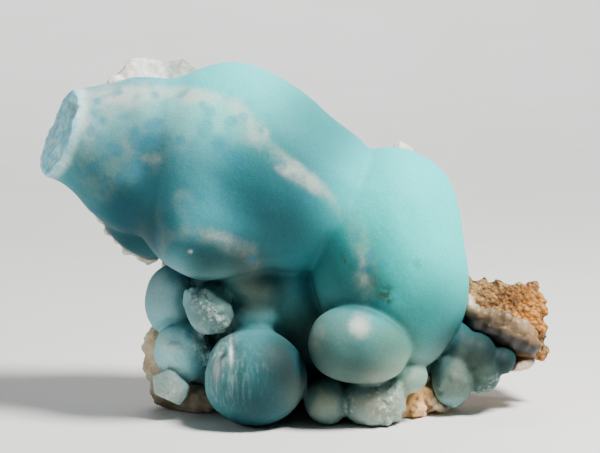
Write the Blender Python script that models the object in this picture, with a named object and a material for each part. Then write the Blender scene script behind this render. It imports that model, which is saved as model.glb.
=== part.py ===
"""A cabinet specimen of blue aragonite: rounded blue growths on a white crust, on a piece of brown rock.

Run it with: blender --background --python part.py
Every place and size below is in millimetres: +X to the viewer's right, +Y away from the viewer, +Z up
from the ground. The finished pieces are moved so that the origin is the middle of the whole base.

Each great lobe is a few rounded bulges, fused and softened together. The lobes are then fused with
narrow creases between them, joined with a few flat-faced crystals, and cut by the broken left end, the
crust behind and the floor. The crust and the rock are lumps and blocks with a rough surface, cut back
from what lies in front of them.
"""

import random
from collections import namedtuple

import bmesh
import bpy
from mathutils import Euler, Matrix, Vector, noise

MM = 0.001
DEGREE = 0.0174533

# Driving dimensions
BASE_MIDDLE = (-1.35, 4.15, 0.0)
FLOOR = 0.0
BLUE_BACK = 14.0
BACK_WAVE = 1.5

# How far a neighbour is cut back from the blue lobes and from the white crust. The cutter is a coarse
# copy, so the gap that is left is between 0.2 mm and this.
BLUE_CLEARANCE = 0.9
WHITE_CLEARANCE = 1.0
CUTTER_TRIANGLES = 1700

# Grain of the fusing, rounds of softening, and what the softening takes off a bulge again
LOBE_VOXEL, LOBE_ROUNDS, LOBE_SWELL = 1.0, 110, 20.0
BELLY_ROUNDS, BELLY_SWELL = 50, 10.0
BODY_VOXEL, BODY_ROUNDS = 0.65, 6
STONE_VOXEL, STONE_ROUNDS = 0.8, 2

# Triangles in each piece before it is joined with crystals and cut
BLUE_TRIANGLES = 3750
WHITE_TRIANGLES = 850
ROCK_TRIANGLES = 1250

# Edges sharper than this, in degrees, stay sharp in the shading
ROUND_CREASE = 38.0
STONE_CREASE = 12.0

Bulge = namedtuple("Bulge", "centre radii lean", defaults=((0, 0, 0),))

# Each great lobe is a few bulges that flow into each other
GREAT_LOBES = {
    "left lobe": [
        Bulge((-44.9, 1, 61.8), (19, 14, 11.5), (0, 45, 0)),
        Bulge((-49, 1, 66.8), (11.5, 13, 8.3)),
        Bulge((-57, 4, 64.3), (8.5, 9, 6.5)),
        Bulge((-36, 1, 66.5), (15.5, 14.5, 13.7)),
        Bulge((-36, 1, 56), (13, 13, 12.5)),
    ],
    "lower left lobe": [
        Bulge((-37.6, 6, 46), (11, 9, 8), (0, 45, 0)),
    ],
    "right lobe": [
        Bulge((22.5, -1, 40), (15.5, 17, 21.5)),
        Bulge((28, -1, 31), (11.5, 12.5, 12)),
        Bulge((26, -2, 23), (8.5, 12, 12)),
        Bulge((20.8, 2, 50.6), (14.6, 14, 12)),
        Bulge((11, -5, 37), (7.5, 11, 16)),
    ],
    "root": [
        Bulge((-3.5, 5, 19), (12, 10, 15)),
        Bulge((-12, 6, 33), (16, 10, 14)),
        Bulge((-22, 8, 20), (12, 7, 15)),
        Bulge((17, 7, 16), (16, 9, 14)),
        Bulge((36, 9, 14), (11, 5, 9)),
    ],
}
MIDDLE_LOBE = [
    Bulge((-16, 1, 60), (21.5, 20, 23.4)),
    Bulge((-4, 0, 55), (22, 19, 18.8), (0, 40, 0)),
    Bulge((-25.5, -1, 59), (10, 17, 15)),
    Bulge((9.5, 3, 54.5), (8, 12, 9.7)),
]
BELLY = [
    Bulge((-25, -5.5, 52), (9, 12.5, 14)),
    Bulge((-22.5, -10, 44.4), (12.5, 12, 10), (0, 12, 0)),
    Bulge((-14, -9, 42.5), (5, 8, 5)),
]

SMALL_LOBES = {
    "egg": Bulge((14.3, -15, 19), (12.2, 9, 8.8), (0, 8, 0)),
    "egg shoulder": Bulge((10, -15.5, 20.6), (8, 8.5, 8.2)),
    "front ball": Bulge((-10.5, -12, 11.8), (12, 12, 12)),
    "hidden ball": Bulge((-30, 3, 27), (7, 8, 9)),
    "left ball": Bulge((-27.5, -3, 15.5), (7, 7, 7.4)),
    "knob heart": Bulge((-21.5, -7, 26.5), (5, 6, 6)),
    "inner bud": Bulge((-11, -4.5, 32), (6.5, 6, 6)),
    "lower bud": Bulge((-10.5, -6.5, 25.2), (5.4, 5.5, 3.8)),
    "foot ball": Bulge((6, -11, 5.6), (5.2, 6, 5.8)),
    "foot lobe": Bulge((14.5, -10, 5.3), (8.5, 8, 5.9)),
    "foot bead": Bulge((25.2, -9, 11), (4.6, 5, 4.2)),
    "crust front lobe": Bulge((37, 0, 8.4), (4.5, 6, 6.8)),
    "crust great lobe": Bulge((43.2, 0, 12.5), (5.9, 7, 6.6), (0, -10, 0)),
    "crust upper lobe": Bulge((37.7, 1.5, 16.6), (3.8, 6, 5)),
    "crust end lobe": Bulge((48, 3, 12.3), (3.8, 5, 3.4)),
}

# Crystals with flat faces that are fused to the blue lobes: one block given by its corners, and
# nuggets given by centre and size
LEFT_CRYSTAL = [
    (-34.8, -6, 10.3), (-30.9, -10, 12.9), (-29.3, -10.5, 12.3), (-25.8, -9.5, 8.5), (-26.5, -8.5, 5.7),
    (-28.2, -8, 3.6), (-30.8, -10, 5.5), (-34.4, -6, 6), (-34, 1, 9), (-30, 1, 11), (-27, 1, 8),
    (-29, 1, 4), (-33, 1, 5),
]
BLUE_NUGGETS = {
    "knob left": ((-24.8, -10.5, 29.6), 3.6),
    "knob top": ((-20.6, -11.5, 30.4), 3.4),
    "knob right": ((-17.6, -10, 27.4), 3.4),
    "knob middle": ((-21.4, -12.6, 26.4), 3.6),
    "knob low": ((-18.6, -10.5, 22.8), 3.0),
    "knob low left": ((-24.4, -9.5, 24.2), 3.2),
    "foot middle": ((18.2, -13.5, 5.6), 5.2),
    "foot right": ((21.6, -11, 4), 4.2),
    "foot upper": ((20.6, -12, 8.2), 3.4),
}
NUGGET_POINTS = 16

# Lumps with flat faces along the pale ledge at the right, and on the face of the rock above it
LEDGE_NUGGETS = [
    ((38.2, 0.2, 26.6), 2.3), ((40.6, -0.6, 24.3), 2.5), ((42.9, 0, 24.4), 1.9), ((44, -1, 21.8), 2.7),
    ((46.8, -0.4, 20.7), 2.4), ((48.4, 0.2, 18.2), 2.6), ((51.4, 0.6, 17.2), 2.3), ((52.6, 1.6, 14.4), 2.4),
    ((54.8, 3, 13.6), 2.2),
]
FLANGE_NUGGETS = [
    ((41, 7.5, 29.4), 2.6), ((45, 7.8, 28), 2.8), ((49.2, 8.4, 27), 2.3), ((53, 9, 27.4), 2.6),
    ((57.3, 10.2, 27), 2.2), ((47.4, 7, 24), 2.4), ((51.4, 7.6, 23.4), 2.8), ((56, 9.2, 22), 2.4),
    ((53.4, 8, 19.6), 2.3), ((58, 10, 17.4), 2.6), ((57.2, 9, 13.4), 2.4),
]

# The broken left end: a point on it and the direction it faces
BREAK_PLACE = (-57.3, 2.0, 66.5)
BREAK_FACING = (-0.91, -0.25, 0.32)
BREAK_SIZE, BREAK_CUTS = 54.0, 21
BREAK_LUMPS, BREAK_FIBRES = 2.4, 1.4

# White crust: a sheet of lumps behind the lobes, and the lumps that show at its edges
SHEET_LUMPS = [
    Bulge((-36, 15.5, 62), (14, 4, 15)),
    Bulge((-15, 16, 56), (24, 4, 22)),
    Bulge((6, 16, 43), (20, 4, 20)),
    Bulge((26, 15.5, 40), (12.2, 4, 18)),
    Bulge((-19, 15, 22), (17, 4, 20)),
    Bulge((10, 15, 18), (24, 4, 13)),
    Bulge((37, 13, 18), (13, 4, 9)),
    Bulge((46, 9.5, 17.5), (8.5, 4.5, 6), (0, 25, 0)),
]
EDGE_LUMPS = [
    Bulge((-45.5, 9, 45), (5, 3.5, 6), (0, 40, 0)),
    Bulge((-40, 10, 40), (7.5, 3.5, 6), (0, 40, 0)),
    Bulge((-33, 7, 13), (4.6, 5, 8)),
    Bulge((-30.5, 6, 5), (5.3, 5.5, 5)),
    Bulge((-24, 6, 2), (7, 6.5, 4)),
    Bulge((29, 6, 4), (7, 8, 5)),
    Bulge((27, 12, 6), (8, 5, 7)),
    Bulge((35, 7.5, 4.5), (6, 5, 3.8)),
    Bulge((38.6, 4, 26.2), (3.3, 5, 2.9)),
    Bulge((41.4, 3.5, 24.3), (3.1, 5, 2.8)),
    Bulge((44.2, 3.5, 22.2), (3.2, 5, 3.1)),
    Bulge((47.2, 4, 20), (3.2, 5, 3.1)),
    Bulge((50.2, 5, 17.8), (3.1, 5, 3)),
    Bulge((53.1, 6, 15.6), (3.1, 5, 2.8)),
    Bulge((55.2, 7, 13.8), (2.6, 4.4, 2.4)),
    Bulge((52.5, 9, 12.3), (4.5, 4, 1.8), (0, -10, 0)),
]
WHITE_CHUNKS = [
    [
        (-44, 9, 76), (-32, 8, 77), (-44.5, 15, 78), (-39.8, 15, 83.2), (-35.7, 15, 84), (-33, 15, 83),
        (-33, 11, 80.5), (-40, 21, 80), (-32, 21, 80), (-42, 18, 70), (-30, 18, 70),
    ],
    [
        (-34, 10, 79), (-25, 10, 78), (-33.5, 14, 82.6), (-28, 14, 83.3), (-24.8, 14, 81),
        (-32, 20, 80), (-24, 20, 78), (-32, 18, 70), (-24, 18, 70),
    ],
    [
        (21.5, 12, 58), (27.5, 12, 58), (22.8, 14, 61.8), (24.7, 14, 63.9), (27.2, 14, 61.4),
        (25, 18, 60), (22, 17, 54), (28, 17, 54),
    ],
    [
        (23.6, -5, 1), (24.2, -5.5, 6), (27.4, -4.5, 7.4), (29.4, -4.5, 3.5), (28.6, -4.5, 0),
        (24, 4, 0), (24, 4, 8), (30, 4, 8), (30, 4, 0),
    ],
    [
        (30, -1, 1), (29.6, -1.5, 4.5), (31.6, -2, 7), (34, -1, 6), (34.6, 0, 2), (33, 0, 0),
        (30, 6, 0), (30, 6, 8), (35, 6, 7), (35, 6, 0),
    ],
]

# Brown rock: blocks given by their corners, and bumps on its back
ROCK_CHUNKS = [
    [
        (-43, 17, 62), (-37, 17, 73), (-18, 17, 76), (0, 17, 68), (9, 17, 58), (9, 17, 4), (-26, 17, 0),
        (-30, 17, 20), (-38, 17, 46), (-34, 25, 62), (-20, 27, 66), (0, 27, 56), (6, 31, 20), (-20, 31, 6),
        (-30, 26, 44),
    ],
    [
        (-8, 17, 58), (24, 17, 54), (34, 17, 46), (37, 17, 30), (38, 15, 12), (26, 15, 0), (-8, 15, 0),
        (2, 27, 52), (25, 24, 44), (31, 28, 20), (-4, 32, 14), (26, 29, 6),
    ],
    [
        (38, 8, 26), (56, 9, 14), (59, 10, 11.8), (60.1, 10, 14.1), (39, 14, 31.2), (47.9, 16, 28.3),
        (59, 16, 28.8), (57.9, 12, 21.7), (36, 29, 26), (56, 26, 24), (57, 23, 13), (40, 28, 8), (38, 12, 10),
    ],
    [
        (-30, 8, -3), (-29, 9, 8), (-3, 7, -3), (-4, 8, 6), (-26, 27, -3), (-23, 26, 10), (-4, 30, -3),
        (-6, 29, 14), (-27, 19, 14),
    ],
    [
        (7, 7, -3), (8, 8, 6), (31, 6, -3), (31, 7, 8), (27, 25, -3), (26, 27, 12), (6, 31, -3), (8, 30, 14),
    ],
    [(-12, 16, -3), (12, 15, -3), (-12, 18, 14), (12, 18, 14), (-9, 32, -3), (11, 31, -3), (0, 31, 18)],
]
BACK_BUMPS = 18
BUMP_POINTS = 14
BACK_LOW = (-28.0, 24.0, 6.0)
BACK_HIGH = (24.0, 28.0, 48.0)


def clear_scene():
    for obj in list(bpy.data.objects):
        bpy.data.objects.remove(obj)


def new_object(name, bm):
    mesh = bpy.data.meshes.new(name)
    bm.to_mesh(mesh)
    bm.free()
    obj = bpy.data.objects.new(name, mesh)
    bpy.context.scene.collection.objects.link(obj)
    return obj


def swollen(bulges, amount):
    """The bulges made larger by what the softening takes off again, more where they are small."""
    grown_bulges = []
    for bulge in bulges:
        extra = amount / (sum(bulge.radii) / 3)
        grown_bulges.append(bulge._replace(radii=[radius + extra for radius in bulge.radii]))
    return grown_bulges


def add_bulge(bm, bulge):
    lean = Euler([angle * DEGREE for angle in bulge.lean])
    place = Matrix.LocRotScale(Vector(bulge.centre) * MM, lean, Vector(bulge.radii) * MM)
    bmesh.ops.create_icosphere(bm, subdivisions=4, radius=1.0, matrix=place)


def add_block(bm, corners):
    """The block that the corners span, with flat faces."""
    verts = [bm.verts.new(Vector(corner) * MM) for corner in corners]
    hull = bmesh.ops.convex_hull(bm, input=verts)
    bmesh.ops.recalc_face_normals(bm, faces=[item for item in hull["geom"] if isinstance(item, bmesh.types.BMFace)])
    bmesh.ops.delete(bm, geom=[vert for vert in verts if not vert.link_faces], context="VERTS")


def nugget(chance, centre, reach, points):
    """Corners at random around a centre, which span a block with flat faces."""
    spokes = [Vector([chance.gauss(0, 1) for _ in range(3)]).normalized() for _ in range(points)]
    return [Vector(centre) + Vector(reach) * spoke for spoke in spokes]


def shape(name, bulges=(), blocks=(), others=()):
    """One object that holds bulges, blocks and other objects' meshes; the other objects are removed."""
    bm = bmesh.new()
    for bulge in bulges:
        add_bulge(bm, bulge)
    for corners in blocks:
        add_block(bm, corners)
    for other in others:
        bm.from_mesh(other.data)
        bpy.data.objects.remove(other)
    return new_object(name, bm)


def apply_modifiers(obj):
    graph = bpy.context.evaluated_depsgraph_get()
    obj.data = bpy.data.meshes.new_from_object(obj.evaluated_get(graph))
    obj.modifiers.clear()


def fuse(obj, voxel, rounds):
    remesh = obj.modifiers.new("fuse", "REMESH")
    remesh.mode = "VOXEL"
    remesh.voxel_size = voxel * MM
    soften = obj.modifiers.new("soften", "SMOOTH")
    soften.factor = 0.5
    soften.iterations = rounds
    apply_modifiers(obj)


def roughen(obj, size, height):
    """Moves the surface in and out by clouds of the given size."""
    clouds = bpy.data.textures.new("clouds", "CLOUDS")
    clouds.noise_scale = size * MM
    clouds.noise_depth = 1
    displace = obj.modifiers.new("roughen", "DISPLACE")
    displace.texture = clouds
    displace.strength = height * MM


def simplify(obj, triangles):
    obj.data.calc_loop_triangles()
    decimate = obj.modifiers.new("simplify", "DECIMATE")
    decimate.ratio = min(1.0, triangles / len(obj.data.loop_triangles))
    decimate.use_collapse_triangulate = True
    apply_modifiers(obj)


def combine(obj, other, operation):
    """Cuts the object with the other one, or joins them, and removes the other one."""
    boolean = obj.modifiers.new("combine", "BOOLEAN")
    boolean.operation = operation
    boolean.solver = "EXACT"
    boolean.object = other
    bpy.context.view_layer.update()
    apply_modifiers(obj)
    bpy.data.objects.remove(other)


def add_nuggets(obj, places, chance):
    for centre, size in places:
        block = nugget(chance, centre, [size] * 3, NUGGET_POINTS)
        combine(obj, shape("nugget", blocks=[block]), "UNION")


def grown(obj, amount):
    """A copy of the object that is larger by the amount on every side."""
    copy = bpy.data.objects.new("grown", obj.data.copy())
    bpy.context.scene.collection.objects.link(copy)
    offset = copy.modifiers.new("grow", "DISPLACE")
    offset.mid_level = 0.0
    offset.strength = amount * MM
    apply_modifiers(copy)
    fuse(copy, STONE_VOXEL, 1)
    simplify(copy, CUTTER_TRIANGLES)
    keep_largest_body(copy)
    return copy


def slab(size, cuts, place, facing, relief):
    """A thick slab whose rough side is at the place and turned to face the given way."""
    bm = bmesh.new()
    bmesh.ops.create_cube(bm, size=size * MM)
    bmesh.ops.subdivide_edges(bm, edges=bm.edges[:], cuts=cuts, use_grid_fill=True)
    half = size * MM / 2
    for vert in bm.verts:
        if vert.co.z > 0.99 * half:
            vert.co.z += relief(vert.co / MM) * MM
    turn = Vector(facing).normalized().to_track_quat("Z", "Y").to_matrix().to_4x4()
    bmesh.ops.translate(bm, verts=bm.verts, vec=(0, 0, -half))
    bmesh.ops.transform(bm, verts=bm.verts, matrix=Matrix.Translation(Vector(place) * MM) @ turn)
    return new_object("slab", bm)


def break_relief(spot):
    """Lumps and fibres of the broken left end."""
    lumps = noise.noise(spot / 5.0)
    fibres = noise.noise(Vector((spot.x / 2.2, spot.y / 6.0, 7.0)))
    return BREAK_LUMPS * lumps + BREAK_FIBRES * fibres


def back_relief(spot):
    return BACK_WAVE * noise.noise(Vector((spot.x / 22.0, spot.y / 22.0, 3.0)))


def flat_relief(spot):
    return 0.0


def cut_floor(obj):
    combine(obj, slab(200, 0, (0, 0, FLOOR), (0, 0, 1), flat_relief), "DIFFERENCE")


def keep_largest_body(obj):
    """Removes the crumbs that a cut has left."""
    bm = bmesh.new()
    bm.from_mesh(obj.data)
    left = set(bm.verts)
    bodies = []
    while left:
        body = {left.pop()}
        front = list(body)
        while front:
            for edge in front.pop().link_edges:
                for vert in edge.verts:
                    if vert in left:
                        left.remove(vert)
                        body.add(vert)
                        front.append(vert)
        bodies.append(body)
    bodies.sort(key=len)
    crumbs = [vert for body in bodies[:-1] for vert in body]
    bmesh.ops.delete(bm, geom=crumbs, context="VERTS")
    bm.to_mesh(obj.data)
    bm.free()


def finish(obj, colour, roughness, crease):
    """Moves the piece to the specimen's origin, shades it and gives it its material."""
    obj.data.transform(Matrix.Translation(-Vector(BASE_MIDDLE) * MM))
    obj.data.shade_smooth()
    obj.data.set_sharp_from_angle(angle=crease * DEGREE)
    material = bpy.data.materials.new(obj.name)
    material.use_nodes = True
    shader = material.node_tree.nodes["Principled BSDF"]
    shader.inputs["Base Color"].default_value = (*colour, 1.0)
    shader.inputs["Roughness"].default_value = roughness
    shader.inputs["Metallic"].default_value = 0.0
    obj.data.materials.clear()
    obj.data.materials.append(material)


def blue_aragonite():
    lobes = []
    for name, bulges in GREAT_LOBES.items():
        lobes.append(shape(name, swollen(bulges, LOBE_SWELL)))
        fuse(lobes[-1], LOBE_VOXEL, LOBE_ROUNDS)
    middle = shape("middle lobe", swollen(MIDDLE_LOBE, LOBE_SWELL + BELLY_SWELL))
    fuse(middle, LOBE_VOXEL, LOBE_ROUNDS)
    middle = shape("middle lobe", swollen(BELLY, BELLY_SWELL), others=[middle])
    fuse(middle, LOBE_VOXEL, BELLY_ROUNDS)
    blue = shape("blue_aragonite", SMALL_LOBES.values(), others=[*lobes, middle])
    fuse(blue, BODY_VOXEL, BODY_ROUNDS)
    simplify(blue, BLUE_TRIANGLES)
    combine(blue, shape("left crystal", blocks=[LEFT_CRYSTAL]), "UNION")
    add_nuggets(blue, BLUE_NUGGETS.values(), random.Random(4))
    combine(blue, slab(200, 14, (0, BLUE_BACK, 45), (0, -1, 0), back_relief), "DIFFERENCE")
    inward = -Vector(BREAK_FACING)
    combine(blue, slab(BREAK_SIZE, BREAK_CUTS, BREAK_PLACE, inward, break_relief), "DIFFERENCE")
    cut_floor(blue)
    keep_largest_body(blue)
    return blue


def white_aragonite(blue):
    white = shape("white_aragonite", SHEET_LUMPS + EDGE_LUMPS)
    fuse(white, STONE_VOXEL, STONE_ROUNDS)
    roughen(white, 4.2, 1.4)
    roughen(white, 1.8, 0.8)
    apply_modifiers(white)
    simplify(white, WHITE_TRIANGLES)
    for corners in WHITE_CHUNKS:
        combine(white, shape("crystal", blocks=[corners]), "UNION")
    add_nuggets(white, LEDGE_NUGGETS, random.Random(5))
    combine(white, grown(blue, BLUE_CLEARANCE), "DIFFERENCE")
    cut_floor(white)
    keep_largest_body(white)
    return white


def matrix_rock(blue, white):
    chance = random.Random(7)
    bumps = []
    for _ in range(BACK_BUMPS):
        middle = Vector([chance.uniform(low, high) for low, high in zip(BACK_LOW, BACK_HIGH)])
        reach = [chance.uniform(6, 12), chance.uniform(3.5, 5.5), chance.uniform(6, 12)]
        bumps.append(nugget(chance, middle, reach, BUMP_POINTS))
    rock = shape("matrix_rock", blocks=ROCK_CHUNKS + bumps)
    fuse(rock, STONE_VOXEL, STONE_ROUNDS)
    roughen(rock, 7.0, 3.0)
    roughen(rock, 2.6, 2.0)
    apply_modifiers(rock)
    simplify(rock, ROCK_TRIANGLES)
    add_nuggets(rock, FLANGE_NUGGETS, random.Random(6))
    combine(rock, grown(blue, BLUE_CLEARANCE), "DIFFERENCE")
    combine(rock, grown(white, WHITE_CLEARANCE), "DIFFERENCE")
    cut_floor(rock)
    keep_largest_body(rock)
    return rock


def main():
    clear_scene()
    blue = blue_aragonite()
    white = white_aragonite(blue)
    rock = matrix_rock(blue, white)
    finish(blue, (0.19, 0.56, 0.62), 0.55, ROUND_CREASE)
    finish(white, (0.84, 0.80, 0.70), 0.6, STONE_CREASE)
    finish(rock, (0.42, 0.27, 0.13), 0.85, STONE_CREASE)


main()
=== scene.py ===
"""Looks for the blue aragonite specimen: the blue growths, the white crust and the rock in fine detail.

Every place and size is in millimetres, measured as in the part's own source: +X to the viewer's right,
+Y away from the viewer, +Z up from the ground. BASE_MIDDLE is where the model's origin lies in them.
The three bodies are distance fields on a grid, meshed at the grid's step. Marks on the front are placed
in the front view: millimetres across and up as the camera sees them.
"""

import math
from collections import namedtuple

import bmesh
import bpy
import numpy as np
from mathutils import Euler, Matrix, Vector


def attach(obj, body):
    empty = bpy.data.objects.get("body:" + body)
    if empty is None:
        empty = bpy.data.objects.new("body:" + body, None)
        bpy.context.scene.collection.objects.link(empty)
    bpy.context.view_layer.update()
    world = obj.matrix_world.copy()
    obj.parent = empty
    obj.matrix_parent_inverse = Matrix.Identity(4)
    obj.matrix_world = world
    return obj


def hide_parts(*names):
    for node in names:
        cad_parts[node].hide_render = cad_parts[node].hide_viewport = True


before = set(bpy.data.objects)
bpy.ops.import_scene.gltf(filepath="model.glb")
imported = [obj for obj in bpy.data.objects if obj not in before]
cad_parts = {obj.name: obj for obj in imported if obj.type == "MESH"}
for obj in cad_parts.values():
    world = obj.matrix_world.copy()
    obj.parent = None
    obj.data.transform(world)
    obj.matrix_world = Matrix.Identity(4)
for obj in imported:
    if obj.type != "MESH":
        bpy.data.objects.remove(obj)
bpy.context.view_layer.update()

MM = 0.001
BASE_MIDDLE = (-1.35, 4.15, 0.0)

# Camera: how far it stands from the specimen, how far it looks down, and what one picture width holds
VIEW_DISTANCE = 600.0
VIEW_DOWN = math.radians(8.0)
VIEW_HEIGHT = 45.0
PICTURE_WIDTH = 141.48
SENSOR_WIDTH = 36.0
# How high the middle of the front view counts in the tables of marks
MARKS_MIDDLE = 47.04

# The grid: its step, its corners, its axes, and the axes shaped to span all of it. FAR is the distance
# that an empty grid holds, and MARGIN how far past a form's reach its distance is worked out
STEP = 0.5
LOW_CORNER = (-66.0, -28.0, -2.0)
HIGH_CORNER = (64.0, 36.0, 90.0)
AXES = [np.arange(low, high, STEP, dtype=np.float32) for low, high in zip(LOW_CORNER, HIGH_CORNER)]
GRID = (AXES[0][:, None, None], AXES[1][None, :, None], AXES[2][None, None, :])
FAR = 50.0
MARGIN = 4.0
MOST_TRIANGLES = 190000

# The box that the specimen fills, and the gap between two bodies
BOX_LOW = (-63.0, -24.0, 0.0)
BOX_HIGH = (60.3, 32.3, 83.9)
GAP = 0.2

# The back of the blue growths: its middle, how far it waves, and how long its waves are
BLUE_BACK = 14.0
BACK_WAVE = 1.5
BACK_WAVE_SIZE = 22.0

# A bulge is its centre, its radii and, where it leans, its turns in degrees about X, Y and Z
Bulge = namedtuple("Bulge", "centre radii lean", defaults=((0, 0, 0),))

# Great lobes: how softly the lobe joins the lobes before it, how softly its bulges flow together, and
# the bulges
GREAT_LOBES = {
    "left lobe": (1.6, 5.0, [
        ((-45.2, 1, 61.3), (19.2, 14, 11.6), (0, 45, 0)),
        ((-49.6, 1, 66.3), (11.8, 13, 9)),
        ((-58.5, 3, 63.2), (9, 9, 6.4)),
        ((-36, 1, 66.2), (15.5, 14.5, 13.8)),
        ((-36, 1, 56), (13, 13, 12.5)),
    ]),
    "lower left lobe": (1.2, 4.0, [
        ((-37.7, 6, 46.2), (11.6, 8, 7.8), (0, 46, 0)),
    ]),
    "middle lobe": (3.0, 9.0, [
        ((-16, 1, 60), (21.5, 20, 23.5)),
        ((-4, 0, 55), (22, 19, 18.5), (0, 40, 0)),
        ((-25.5, -1, 59), (10, 17, 15)),
        ((9.5, 3, 54.5), (8, 12, 9.7)),
    ]),
    "belly": (6.0, 6.0, [
        ((-25, -5.5, 52), (9, 12.5, 14)),
        ((-22.5, -10, 44.4), (12.5, 12, 10), (0, 12, 0)),
        ((-14, -9, 42.5), (5, 8, 5)),
    ]),
    "right lobe": (1.6, 9.0, [
        ((22.5, -1, 40), (15, 16.5, 21)),
        ((28, -1, 31), (10.7, 12, 11)),
        ((26, -2, 23), (8.5, 12, 12)),
        ((20.3, 2, 50.3), (14, 13.5, 11.7)),
        ((11, -5, 37), (7.5, 11, 16)),
    ]),
    "egg": (1.2, 6.0, [
        ((11, -15.3, 20), (9.3, 8.6, 8.8)),
        ((18.5, -13.5, 18), (7, 8, 7)),
    ]),
    "root": (1.6, 9.0, [
        ((-3.5, 5, 19), (12, 10, 15)),
        ((-12, 6, 33), (16, 10, 14)),
        ((-22, 8, 20), (12, 7, 15)),
        ((17, 7, 16), (16, 9, 14)),
        ((36, 9, 14), (11, 5, 9)),
    ]),
}

# Small lobes, and how softly they join: a few more softly than the rest
SMALL_BLEND = 1.2
SOFT_BLEND = 2.6
SOFT_LOBES = ("inner bud", "lower bud")
SMALL_LOBES = {
    "front ball": ((-10.4, -12, 11.3), (12.2, 12, 11.5)),
    "hidden ball": ((-30, 3, 27), (7, 8, 9)),
    "left ball": ((-27.5, -3, 15.5), (7, 7, 7.4)),
    "knob heart": ((-21.5, -7, 26.5), (5, 6, 6)),
    "inner bud": ((-11.5, -4.5, 32), (7.5, 6, 4.6), (0, 34, 0)),
    "lower bud": ((-10.8, -5, 24.2), (5.8, 5.5, 4.4)),
    "foot ball": ((6, -11, 5.6), (5.2, 6, 5.8)),
    "foot lobe": ((16.2, -10, 5.6), (6.6, 8, 6.1)),
    "foot bead": ((25.2, -9, 11), (4.6, 5, 4.2)),
    "crust front lobe": ((36.2, -0.6, 9.0), (5.3, 6, 6.8)),
    "crust great lobe": ((41.6, 0.4, 14.8), (5.0, 6, 4.8), (0, -10, 0)),
    "crust low lobe": ((43.4, -0.6, 9.8), (4.4, 5, 4.6)),
    "crust upper lobe": ((37.7, 1.0, 16.6), (4.0, 6, 5)),
    "crust end lobe": ((47.6, 1.6, 12.6), (4.0, 5, 3.6)),
}

# The swelling at the right of the foot's lobe, under its crystals
FOOT_SWELL = ((20, -11, 5.6), (4.8, 5, 5.2))
# The two thin blades on the front ball
BLADES = [
    (((-16.6, -19.6, 18.2), (0.5, 1.0, 3.4), (18, -6, 0)), 0.5),
    (((-19.2, -17.8, 16.0), (0.8, 0.8, 2.8), (14, 14, 0)), 0.7),
]

# Corners of the two crystals with large flat faces
LEFT_CRYSTAL = [
    (-34.8, -6, 10.3), (-30.9, -10, 12.9), (-29.3, -10.5, 12.3), (-25.8, -9.5, 8.5), (-26.5, -8.5, 5.7),
    (-28.2, -8, 3.6), (-30.8, -10, 5.5), (-34.4, -6, 6), (-34, 1, 9), (-30, 1, 11), (-27, 1, 8),
    (-29, 1, 4), (-33, 1, 5),
]

KNOB_BLOCK = [
    (-26.8, -13, 32.2), (-21.4, -14.2, 32.6), (-17.2, -13, 28.6), (-15.6, -11.5, 25), (-17.4, -12, 21.8),
    (-21.4, -13.2, 21.2), (-25.4, -12.6, 24), (-27.4, -11.5, 28.6), (-22.6, -15.4, 28.4), (-20, -15, 25),
    (-26, -7, 31), (-18, -7, 31), (-16.5, -7, 24), (-24, -7, 23),
]

# The broken left end: a point on it and the way it faces
BREAK_PLACE = (-57.3, 2.0, 66.5)
BREAK_FACING = (-0.91, -0.25, 0.32)
# The break's fibres: the way they run, and the way across them
FIBRE_ALONG = (-0.36, 0.86, -0.36)
FIBRE_ACROSS = (-0.19, -0.44, -0.87)
# The break's waves: height, size, seed; and its fibres: height, size, how many times as long, seed
BREAK_WAVES = (0.7, 5.0, 11)
BREAK_FIBRES = [(0.32, 1.1, 3.6, 12), (0.22, 0.7, 5.0, 13)]

# The white crust: lumps of the sheet behind the lobes, lumps along its edges, and blocks
SHEET_LUMPS = [
    ((-36, 15.5, 62), (14, 4, 15)),
    ((-15, 16, 56), (24, 4, 22)),
    ((6, 16, 43), (20, 4, 20)),
    ((26, 15.5, 40), (12.2, 4, 18)),
    ((-19, 15, 22), (17, 4, 20)),
    ((10, 15, 18), (24, 4, 13)),
    ((36, 13.5, 13), (12, 4, 6.5)),
    ((46, 9.5, 15), (8, 4, 4.6), (0, 22, 0)),
]
EDGE_LUMPS = [
    ((-42, 10.5, 46), (3.6, 3, 8), (0, -38, 0)),
    ((-36, 10, 41), (6, 3.5, 4)),
    ((-38, 14, 49), (7, 3.5, 12), (0, -30, 0)),
    ((-33, 7, 13), (4.6, 5, 8)),
    ((-30.5, 6, 5), (5.3, 5.5, 5)),
    ((-24, 6, 2), (7, 6.5, 4)),
    ((29, 6, 4), (7, 8, 5)),
    ((27, 12, 6), (8, 5, 7)),
    ((35, 7.5, 4.5), (6, 5, 3.8)),
    ((39, 4, 25.9), (2.6, 5, 2.6)),
    ((41.6, 4, 21.6), (3, 5, 3.2)),
    ((44.6, 3.8, 20.6), (3.1, 5, 3.3)),
    ((47.6, 4, 19.2), (3.1, 5, 3.7)),
    ((50.4, 4.6, 17.9), (3.1, 5, 3.7)),
    ((53, 5.4, 16.9), (3, 5, 3.5)),
    ((54.9, 6.4, 15.5), (2.4, 4.6, 2.5)),
    ((52.5, 6, 11), (4, 4, 1.5), (0, -14, 0)),
]
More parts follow.
